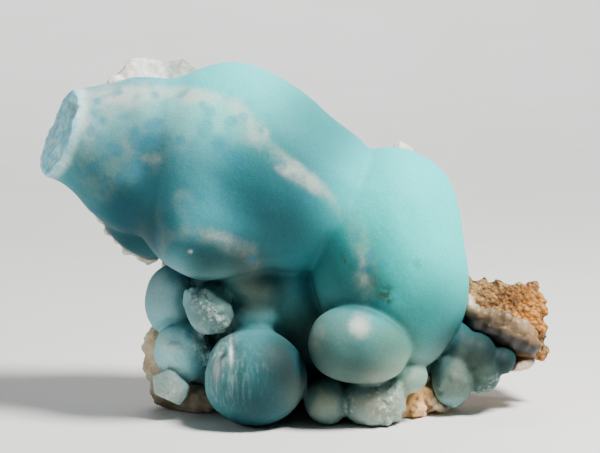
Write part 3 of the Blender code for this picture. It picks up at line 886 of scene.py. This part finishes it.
# Tints of the white crust and of the rock in the front view. The ledge's dark brown tints are partly the
# crust's own colour and partly painted shade
WHITE_BASE = linear(222, 218, 204)
WHITE_TINTS = {
    "top chunk": (-36.2, 84.7, 6, 3.0, (250, 250, 250)),
    "second chunk": (-28.9, 84.9, 5, 3.0, (113, 148, 137)),
    "rim": (-44, 42, 9, 2.0, (206, 220, 216)),
    "left edge": (-35, 16, 6, 2.0, (206, 190, 162)),
    "left foot": (-31.8, 5.4, 6, 2.0, (70, 54, 20)),
    "cream crystals": (27.7, 6.5, 4, 3.0, (217, 163, 82)),
    "pale block": (33, 5, 3, 3.0, (228, 222, 200)),
    "ledge start": (41, 29.6, 2.8, 3.0, (214, 212, 186)),
    # Partly painted shade: the ledge's face, darker than the crust's own colour
    "ledge": (44.6, 25.4, 5, 7.0, (92, 66, 24)),
    "ledge end": (54, 21, 5, 3.0, (132, 100, 52)),
    "sliver": (52.5, 14, 2.5, 3.0, (222, 200, 176)),
}
ROCK_BASE = linear(128, 92, 48)
ROCK_TINTS = {
    "flange start": (42, 31, 3, 3.0, (186, 150, 92)),
    "flange": (48.9, 29.5, 7, 2.0, (123, 78, 22)),
    "flange edge": (55.2, 27.4, 4, 4.0, (199, 129, 21)),
    "flange notch": (56.6, 19, 1.8, 9.0, (74, 42, 22)),
    "flange foot": (57, 15, 2.5, 4.0, (206, 150, 86)),
}
# Brown dirt between the cream crystals; the first row is painted shade in the pit of a crystal
DIRT_AND_PIT_SHADE = [
    # Painted shade in the pit
    (27.6, 6.4, 0.6, 0.6, 0, 1.0),
    (32.4, 8.6, 1.3, 2.0, 20, 0.8),
    (34.4, 4.6, 1.4, 0.9, 0, 0.8),
    (24.6, 10.2, 1.0, 1.4, 0, 0.5),
]
# The line beneath the ledge's crest where the painted shade on its face starts: across and up
LEDGE_SHADE = [(39.3, 26.7), (41.1, 26.1), (44.4, 24.7), (48.9, 22.1), (53.3, 20.8), (55.4, 19.4)]

# Pale upright streaks on the front ball
STREAKS = [
    (-18.5, 15, 3.6, 8, 0, 0.9),
    (-21, 9, 3, 6, 0, 0.5),
    (-12, 13, 4, 7, 0, 0.35),
    (-23.5, 17.5, 2.0, 3.4, 20, 1.0),
]
# Where fine sugary crystals cover the blue: the knob, the foot, the left crystal, the ball's ledges
SUGAR = [
    (-22.5, 28.5, 2.2, 6.0, 38, 1.0),
    (-19.5, 24, 3.4, 3.0, 0, 0.5),
    (20, 4.6, 3.4, 4.4, 0, 0.85),
    (11.5, 3, 1.4, 3.4, 0, 0.5),
    (-30.5, 9, 3.8, 4.0, 0, 0.8),
    (-22.8, 18, 1.6, 3.6, 20, 0.8),
    (-27.5, 17.5, 3.0, 1.6, 20, 0.4),
    (38.5, 4, 5.0, 2.4, 20, 0.5),
    (46.5, 9.5, 4.0, 2.0, 24, 0.5),
]
# Spots of bare blue in the veils
BLUE_SPOTS = [
    (-19.6, 66.6, 2.6, 2.4, 0, 0.8),
    (-23.3, 70.5, 1.6, 1.5, 0, 0.6),
    (-15, 63, 2.2, 1.8, -20, 0.6),
    (-47.7, 68.5, 1.9, 1.6, 0, 0.6),
    (-44.6, 65.8, 2.2, 1.8, 20, 0.6),
    (-41.6, 73, 1.8, 1.3, 0, 0.5),
    (-48.5, 73.5, 1.4, 1.2, 0, 0.5),
    (-53, 67.7, 1.4, 1.7, 20, 0.5),
    (-35.6, 67.4, 2.8, 2.0, 0, 0.7),
    (-38.6, 59.8, 2.8, 1.8, -20, 0.6),
    (-28, 63.5, 2.2, 1.6, 0, 0.5),
    (-12, 76, 1.0, 0.8, 0, 0.5),
    (-16.5, 78.4, 0.9, 0.8, 0, 0.5),
    (2.5, 52.9, 1.6, 1.3, -30, 0.5),
    (-24, 54, 1.8, 1.5, 0, 0.5),
]
# Small pale marks: the blade and the worn ridge on the front ball; and a painted highlight, the glint on
# the belly
PALE_MARKS_AND_GLINT = [
    (-16.3, 17.6, 0.36, 3.0, 2, 0.9),
    (-19.4, 14, 0.8, 3.2, -6, 0.5),
    # Painted highlight: the glint on the belly
    (-25.8, 41.1, 0.35, 0.35, 0, 1.0),
]
# Dull green stains on the right lobe and beside it
STAINS = [
    (20.3, 31.5, 2.0, 1.8, 20, 1.1),
    (20.8, 29.5, 0.9, 0.8, 20, 0.9),
    (28, 38, 2.0, 1.2, -30, 0.45),
    (17.6, 34, 1.3, 3.0, 10, 0.45),
    (10.9, 38.6, 1.6, 0.4, -52, 2.0),
]

# Marks of the blue growths that come from one table: the table, how much it is raised, the most it gives
BLUE_MARKS = {
    "white_veil": (WHITE_VEIL, 1.0, 1.1),
    "stain": (STAINS, 1.0, 4.0),
    "spots": (BLUE_SPOTS, 1.0, 0.8),
    "pale_and_glint": (PALE_MARKS_AND_GLINT, 1.0, 0.9),
    "streaks": (STREAKS, 1.0, 4.0),
    "sugar": (SUGAR, 1.4, 1.0),
}


def patches(across, up, table):
    """The table's patches added together, each at its strength in its middle and fading out."""
    total = np.zeros(len(across), dtype=np.float32)
    for middle, height, wide, high, turn, strength in table:
        cosine, sine = math.cos(math.radians(turn)), math.sin(math.radians(turn))
        right = (across - middle) * cosine + (up - height) * sine
        above = (up - height) * cosine - (across - middle) * sine
        total += strength * np.exp(-(right / wide) ** 2 - (above / high) ** 2)
    return total


def past(distance, width):
    """0 before a line and 1 past it, rising evenly over a width around it."""
    return np.clip(distance / width + 0.5, 0.0, 1.0)


def seam(up):
    """How far across the seam of the left and the middle lobe lies at a height."""
    return np.interp(up, *zip(*SEAM))


def middle_veil(across, up):
    """The veil beneath its edge on the middle lobe."""
    edge = np.interp(across, *zip(*VEIL_EDGE))
    deep = np.interp(across, *zip(*VEIL_DEPTH))
    below = edge - up
    ends = past(across - seam(up), 1.2) * np.clip((11.5 - across) / 2.0, 0.0, 1.0)
    return 0.95 * past(below, 1.8) * ends * np.exp(-(np.clip(below, 0.0, None) / deep) ** 2)


def left_veil(across, up):
    """The left lobe's veil, which ends sharply at the seam and under the bare blue of the ridge."""
    top = np.interp(across, *zip(*VEIL_TOP))
    return patches(across, up, LEFT_VEIL) * past(seam(up) - across, 1.2) * past(top - up, 2.0)


def tinted(across, up, base, table):
    """The table's colours blended by nearness, over a base colour."""
    weights = np.full(len(across), BASE_WEIGHT)
    colours = weights[:, None] * base[None, :]
    for middle, height, reach, strength, colour in table.values():
        weight = strength * np.exp(-((across - middle) ** 2 + (up - height) ** 2) / reach ** 2)
        weights = weights + weight
        colours = colours + weight[:, None] * linear(*colour)[None, :]
    return colours / weights[:, None]


def front_marks(obj):
    """The vertices' places and facings, their places in the front view, and how far they face it."""
    places, facings = vertex_places(obj)
    across, up = front_view(places)
    return places, facings, across, up, np.clip(0.6 - facings[:, 1], 0.0, 1.0)


def blue_marks(obj, blue):
    """What the material of the blue growths reads: tint with painted shade, veils, marks, painted shade in
    the creases and the broken end.
    """
    places, facings, across, up, toward = front_marks(obj)
    store(obj, "tint", tinted(across, up, BASE_TINT, TINTS_WITH_PAINTED_LIGHT_AND_SHADE))
    veil = np.maximum(patches(across, up, VEIL), middle_veil(across, up) + left_veil(across, up))
    away = np.clip(facings[:, 1] + 0.2, 0.0, 1.0)
    store(obj, "veil", np.clip(veil, 0.0, 1.1) * toward + SIDE_VEIL * away)
    for name, (table, gain, most) in BLUE_MARKS.items():
        store(obj, name, np.clip(gain * patches(across, up, table), 0.0, most) * toward)
    near = shelter(blue, places, facings, NEAR_REACH)
    far = shelter(blue, places, facings, FAR_REACH)
    # Painted shade: a soft dark line along the seam of the left and the middle lobe
    line = np.exp(-((across - seam(up)) / 1.1) ** 2) * np.clip((up - 46.0) / 6.0, 0.0, 1.0) * toward
    store(obj, "crease_shade", 0.5 * near + 0.7 * far + 0.3 * line)
    facing = np.array(BREAK_FACING) / np.linalg.norm(BREAK_FACING)
    depth = (places - np.array(BREAK_PLACE)) @ facing
    front = np.clip(facings @ facing * 3.0 - 0.6, 0.0, 1.0)
    store(obj, "broken", np.clip((depth + 2.4) / 1.2, 0.0, 1.0) * front)
    store(obj, "rim", np.exp(-((depth + 1.3) / 0.9) ** 2))


def stone_marks(obj, field, base, table):
    """What the materials of the crust and the rock read: tint, painted shade under the ledge, dirt with
    painted shade in a pit, and painted shade in the creases.
    """
    places, facings, across, up, toward = front_marks(obj)
    store(obj, "tint", tinted(across, up, base, table))
    painted_ledge_shade = past(np.interp(across, *zip(*LEDGE_SHADE)) - up, 2.0)
    ledge = np.clip((across - 35.0) / 1.5, 0.0, 1.0) * np.clip((up - 14.0) / 1.5, 0.0, 1.0) * toward
    store(obj, "painted_ledge_shade", painted_ledge_shade * ledge)
    store(obj, "dirt_and_pit_shade", np.clip(patches(across, up, DIRT_AND_PIT_SHADE), 0.0, 1.0) * toward)
    # Painted crevice shade for the crust and the rock
    store(obj, "crease_shade", shelter(field, places, facings, STONE_REACH))


class Shader:
    """A material's nodes, added one by one."""

    def __init__(self, name):
        self.material = bpy.data.materials.new(name)
        self.material.use_nodes = True
        self.tree = self.material.node_tree
        self.principled = self.tree.nodes["Principled BSDF"]

    def add(self, kind, inputs, **settings):
        """One node; an input is a number, a colour or another node's output."""
        node = self.tree.nodes.new(kind)
        for key, value in settings.items():
            setattr(node, key, value)
        for key, value in inputs.items():
            self.put(node, key, value)
        return node

    def put(self, node, key, value):
        if isinstance(value, bpy.types.NodeSocket):
            self.tree.links.new(value, node.inputs[key])
        else:
            node.inputs[key].default_value = value

    def place(self):
        return self.add("ShaderNodeTexCoord", {}).outputs["Object"]

    def attribute(self, name, output="Fac"):
        return self.add("ShaderNodeAttribute", {}, attribute_name=name).outputs[output]

    def noise(self, place, size, detail=3.0, roughness=0.5, stretch=(1.0, 1.0, 1.0)):
        """Noise with features of about the given size in millimetres."""
        scale = [1.0 / (MM * size * part) for part in stretch]
        scaled = self.add("ShaderNodeVectorMath", {0: place, 1: scale}, operation="MULTIPLY")
        inputs = {"Vector": scaled.outputs[0], "Scale": 1.0, "Detail": detail, "Roughness": roughness}
        return self.add("ShaderNodeTexNoise", inputs).outputs["Fac"]

    def cells(self, place, size, feature="F1", output="Distance"):
        inputs = {"Vector": place, "Scale": 1.0 / (MM * size)}
        return self.add("ShaderNodeTexVoronoi", inputs, feature=feature).outputs[output]

    def warp(self, place, amount, size):
        """The place pushed about by a value, by up to about a size in millimetres."""
        push = self.times(amount, MM * size)
        return self.add("ShaderNodeVectorMath", {0: place, 1: push}, operation="ADD").outputs[0]

    def spread(self, value, low, high, to_low=0.0, to_high=1.0):
        """The value moved from one range to another, and kept inside it."""
        inputs = {0: value, 1: low, 2: high, 3: to_low, 4: to_high}
        return self.add("ShaderNodeMapRange", inputs, interpolation_type="SMOOTHSTEP").outputs[0]

    def math(self, operation, first, second):
        return self.add("ShaderNodeMath", {0: first, 1: second}, operation=operation).outputs[0]

    def times(self, first, second):
        return self.math("MULTIPLY", first, second)

    def plus(self, first, second):
        return self.math("ADD", first, second)

    def mix(self, share, first, second, blend="MIX"):
        """Two colours mixed by a share."""
        node = self.add("ShaderNodeMix", {}, data_type="RGBA", blend_type=blend)
        self.put(node, "Factor", share)
        self.put(node, 6, first)
        self.put(node, 7, second)
        return node.outputs[2]

    def tinge(self, colour, by):
        """The colour multiplied by another."""
        return self.mix(1.0, colour, by, "MULTIPLY")

    def cover(self, colour, amount, share, paint):
        """The colour with paint over it, by an amount times a share."""
        return self.mix(self.times(amount, share), colour, paint)

    def bump(self, height, distance, strength, normal=None):
        inputs = {"Height": height, "Distance": distance * MM, "Strength": strength}
        if normal is not None:
            inputs["Normal"] = normal
        return self.add("ShaderNodeBump", inputs).outputs["Normal"]

    def finish(self, **inputs):
        for key, value in inputs.items():
            self.put(self.principled, key.replace("_", " "), value)
        return self.material


def solid(red, green, blue):
    return (*linear(red, green, blue).tolist(), 1.0)


def clouded(s, name, uneven, most, full):
    """The named veil broken up by uneven noise, up to a most, and kept thin where it is less than full."""
    veil = s.plus(s.attribute(name), s.math("SUBTRACT", uneven, 1.1))
    return s.times(s.spread(veil, -0.1, 1.1, 0.0, most), s.spread(s.attribute(name), 0.02, full))


def blue_material():
    s = Shader("blue_aragonite")
    place = s.place()
    tint = s.attribute("tint", "Color")
    crease_shade = s.spread(s.attribute("crease_shade"), 0.1, 0.9)
    clouds = s.noise(place, 7.0, 2.0, 0.5)
    mottle = s.noise(place, 3.2, 2.0, 0.5)
    mottling = s.spread(mottle, 0.35, 0.7, 0.0, 0.3)
    colour = s.mix(mottling, tint, s.tinge(tint, (0.7, 0.9, 1.0, 1.0)))
    # Painted shade: deeper blue in the creases and wherever other lobes close a surface in
    shade = s.mix(0.3, s.tinge(tint, solid(140, 184, 190)), solid(10, 84, 98))
    colour = s.cover(colour, crease_shade, 0.7, shade)
    wisps = s.noise(place, 1.4, 4.0, 0.6)
    uneven = s.plus(s.times(clouds, 0.9), s.times(mottle, 0.8))
    uneven = s.plus(uneven, s.times(wisps, 0.5))
    film = s.mix(0.14, s.tinge(tint, (2.1, 1.2, 1.05, 1.0)), solid(200, 204, 194))
    colour = s.mix(clouded(s, "veil", uneven, 0.9, 0.4), colour, film)
    colour = s.mix(clouded(s, "white_veil", uneven, 0.6, 0.3), colour, solid(204, 206, 196))
    cells = s.cells(s.warp(place, mottle, 2.4), 4.4, "SMOOTH_F1")
    spots = s.times(s.spread(cells, 0.44, 0.18), s.spread(s.attribute("veil"), 0.2, 0.6))
    spots = s.math("MAXIMUM", s.times(spots, 0.6), s.attribute("spots"))
    colour = s.mix(spots, colour, s.mix(0.5, tint, solid(16, 112, 146)))
    # Pale marks, and the painted highlight of the glint on the belly
    colour = s.mix(s.attribute("pale_and_glint"), colour, solid(214, 226, 220))
    stain = s.times(s.attribute("stain"), s.spread(s.noise(place, 1.6, 4.0), 0.36, 0.6))
    colour = s.cover(colour, stain, 0.8, solid(50, 62, 34))
    flow = s.noise(place, 0.8, 3.0, 0.6, (1.0, 1.0, 9.0))
    streaks = s.times(s.attribute("streaks"), s.spread(flow, 0.46, 0.72))
    colour = s.cover(colour, streaks, 0.34, solid(190, 214, 214))
    sugar = s.attribute("sugar")
    crystals = s.cells(s.warp(place, mottle, 1.0), 0.9)
    flecks = s.times(sugar, s.spread(s.cells(place, 0.8, output="Color"), 0.5, 0.85))
    colour = s.cover(colour, flecks, 0.35, solid(206, 222, 214))
    fibres = s.noise(place, 1.6, 3.0, 0.6)
    # The break's fibrous face: pale blue and white of its own, made lighter still with painted light,
    # since it turns away from the key light
    face = s.mix(s.spread(fibres, 0.3, 0.7), solid(84, 212, 236), solid(196, 246, 250))
    colour = s.mix(s.attribute("broken"), colour, face)
    colour = s.cover(colour, s.attribute("rim"), 0.4, solid(206, 220, 214))
    grain = s.noise(place, 0.42, 2.0, 0.6)
    colour = s.mix(s.spread(grain, 0.4, 0.75, 0.0, 0.5), colour, s.tinge(colour, (1.5, 1.4, 1.4, 1.0)))
    soft = s.bump(s.noise(place, 1.7, 2.0), 0.3, 0.35)
    rough = s.bump(s.times(sugar, crystals), 0.45, 0.7, soft)
    normal = s.bump(grain, 0.12, 0.3, rough)
    return s.finish(Base_Color=colour, Roughness=0.6, Normal=normal, Subsurface_Weight=0.35,
                    Subsurface_Radius=(0.5, 1.0, 1.1), Subsurface_Scale=0.0018, IOR=1.45,
                    Specular_IOR_Level=0.15)


def white_material():
    s = Shader("white_aragonite")
    place = s.place()
    tint = s.attribute("tint", "Color")
    crease_shade = s.spread(s.attribute("crease_shade"), 0.1, 0.8)
    warm = s.spread(s.noise(place, 5.0, 4.0), 0.42, 0.62)
    colour = s.cover(tint, warm, 0.4, s.tinge(tint, solid(240, 206, 160)))
    # Painted shade: the ledge's face under its crest, nearly black olive
    colour = s.mix(s.attribute("painted_ledge_shade"), colour, solid(18, 17, 8))
    # Painted shade: darker and browner in the crevices
    colour = s.cover(colour, crease_shade, 0.6, solid(132, 98, 58))
    # Brown dirt, and painted shade in the pit of a cream crystal
    colour = s.mix(s.attribute("dirt_and_pit_shade"), colour, solid(84, 58, 30))
    grain = s.noise(place, 0.5, 3.0, 0.6)
    colour = s.mix(s.spread(grain, 0.42, 0.75, 0.0, 0.5), colour, s.tinge(colour, (1.5, 1.5, 1.4, 1.0)))
    shards = s.spread(s.cells(place, 2.2, output="Color"), 0.3, 0.8, 0.0, 0.45)
    colour = s.mix(shards, colour, s.tinge(colour, solid(200, 176, 140)))
    crystals = s.cells(place, 1.8)
    lit = s.spread(s.attribute("painted_ledge_shade"), 1.0, 0.0)
    facets = s.bump(s.times(crystals, lit), 0.6, 0.5)
    normal = s.bump(grain, 0.2, 0.6, facets)
    return s.finish(Base_Color=colour, Roughness=0.45, Normal=normal, Subsurface_Weight=0.4,
                    Subsurface_Radius=(1.2, 1.0, 0.8), Subsurface_Scale=0.0012)


def rock_material():
    s = Shader("matrix_rock")
    place = s.place()
    tint = s.attribute("tint", "Color")
    crease_shade = s.spread(s.attribute("crease_shade"), 0.05, 0.7)
    broad = s.spread(s.noise(place, 6.0, 4.0), 0.4, 0.62)
    colour = s.cover(tint, broad, 0.6, s.tinge(tint, solid(198, 176, 160)))
    zones = s.spread(s.noise(place, 16.0, 2.0), 0.44, 0.6)
    colour = s.cover(colour, zones, 0.6, s.tinge(colour, (1.7, 1.5, 1.2, 1.0)))
    patch = s.spread(s.noise(place, 2.6, 4.0, 0.6), 0.5, 0.62)
    colour = s.cover(colour, patch, 0.4, solid(196, 146, 72))
    # Painted shade: dark brown in the crevices
    colour = s.cover(colour, crease_shade, 0.85, solid(76, 40, 20))
    speck = s.noise(place, 0.7, 3.0, 0.7)
    colour = s.mix(s.spread(speck, 0.54, 0.7, 0.0, 0.4), colour, solid(226, 200, 146))
    colour = s.mix(s.spread(speck, 0.44, 0.3, 0.0, 0.55), colour, solid(92, 54, 30))
    lumps = s.cells(s.warp(place, speck, 1.0), 1.1)
    colour = s.mix(s.spread(lumps, 0.35, 0.75, 0.0, 0.6), colour, s.tinge(colour, solid(150, 120, 96)))
    flakes = s.spread(s.cells(place, 1.3, output="Color"), 0.6, 0.75)
    colour = s.cover(colour, flakes, 0.35, solid(214, 176, 112))
    rough = s.bump(lumps, 1.0, 1.0)
    normal = s.bump(speck, 0.25, 0.8, rough)
    return s.finish(Base_Color=colour, Roughness=0.85, Normal=normal)


def floor_material():
    s = Shader("studio_floor")
    place = s.place()
    shade = s.spread(s.noise(place, 60.0, 2.0), 0.3, 0.7)
    colour = s.mix(shade, solid(226, 226, 224), solid(230, 230, 229))
    return s.finish(Base_Color=colour, Roughness=0.8)


def dress(obj, node, material):
    obj.data.materials.clear()
    obj.data.materials.append(material)
    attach(obj, "root")
    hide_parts(node)


def specimen():
    """The three pieces: their fields, which cut one another, then their meshes, marks and materials."""
    rng = np.random.default_rng(5)
    blue = blue_field(rng)
    white = white_field(blue, rng)
    rock = rock_field(blue, white, rng)
    growths = body_object("blue_growths", blue)
    blue_marks(growths, blue)
    dress(growths, "blue_aragonite", blue_material())
    crust = body_object("white_crust", white)
    stone_marks(crust, white, WHITE_BASE, WHITE_TINTS)
    dress(crust, "white_aragonite", white_material())
    stone = body_object("brown_rock", rock)
    stone_marks(stone, rock, ROCK_BASE, ROCK_TINTS)
    dress(stone, "matrix_rock", rock_material())


def studio_floor():
    """A pale floor that curves up into a wall far behind the specimen."""
    wide, front, back, radius, high = 3.0, -1.2, 1.6, 0.8, 1.6
    profile = [(front, 0.0), (back - radius, 0.0)]
    for part in range(1, 13):
        turn = math.radians(90.0 * part / 12)
        profile.append((back - radius + radius * math.sin(turn), radius - radius * math.cos(turn)))
    profile.append((back, high))
    verts = [(side, y, z) for y, z in profile for side in (-wide, wide)]
    faces = [(2 * row, 2 * row + 1, 2 * row + 3, 2 * row + 2) for row in range(len(profile) - 1)]
    mesh = bpy.data.meshes.new("studio_floor")
    mesh.from_pydata(verts, [], faces)
    mesh.shade_smooth()
    floor = bpy.data.objects.new("studio_floor", mesh)
    bpy.context.scene.collection.objects.link(floor)
    mesh.materials.append(floor_material())


# Lights, in metres: place, what they point at, size, power in watts, colour
LIGHTS = {
    "key_light": ((0.23, -0.15, 0.46), (0.0, 0.0, 0.055), 0.15, 8.0, (1.0, 0.98, 0.95)),
    "fill_light": ((-0.6, -0.15, 0.3), (0.0, 0.0, 0.045), 0.4, 0.8, (0.92, 0.97, 1.0)),
    "wall_light": ((0.0, 0.7, 1.2), (0.0, 1.6, 0.5), 0.8, 28.0, (1.0, 1.0, 1.0)),
}
WORLD_COLOUR = (0.9, 0.95, 1.0, 1.0)
WORLD_STRENGTH = 0.02


def area_light(name, place, target, size, power, colour):
    data = bpy.data.lights.new(name, "AREA")
    data.shape = "DISK"
    data.size = size
    data.energy = power
    data.color = colour
    light = bpy.data.objects.new(name, data)
    bpy.context.scene.collection.objects.link(light)
    light.location = place
    light.rotation_euler = (Vector(target) - Vector(place)).to_track_quat("-Z", "Y").to_euler()


def studio_light():
    for name, settings in LIGHTS.items():
        area_light(name, *settings)
    world = bpy.data.worlds.new("studio")
    world.use_nodes = True
    background = world.node_tree.nodes["Background"]
    background.inputs["Color"].default_value = WORLD_COLOUR
    background.inputs["Strength"].default_value = WORLD_STRENGTH
    bpy.context.scene.world = world


def camera():
    data = bpy.data.cameras.new("camera")
    data.sensor_width = SENSOR_WIDTH
    data.lens = SENSOR_WIDTH * VIEW_DISTANCE / PICTURE_WIDTH
    data.clip_start = 0.05
    eye = bpy.data.objects.new("camera", data)
    bpy.context.scene.collection.objects.link(eye)
    eye.location = (
        -BASE_MIDDLE[0] * MM,
        (-VIEW_DISTANCE * math.cos(VIEW_DOWN) - BASE_MIDDLE[1]) * MM,
        (VIEW_HEIGHT + VIEW_DISTANCE * math.sin(VIEW_DOWN)) * MM,
    )
    eye.rotation_euler = (math.radians(90.0) - VIEW_DOWN, 0.0, 0.0)
    bpy.context.scene.camera = eye


camera()
studio_floor()
studio_light()
specimen()
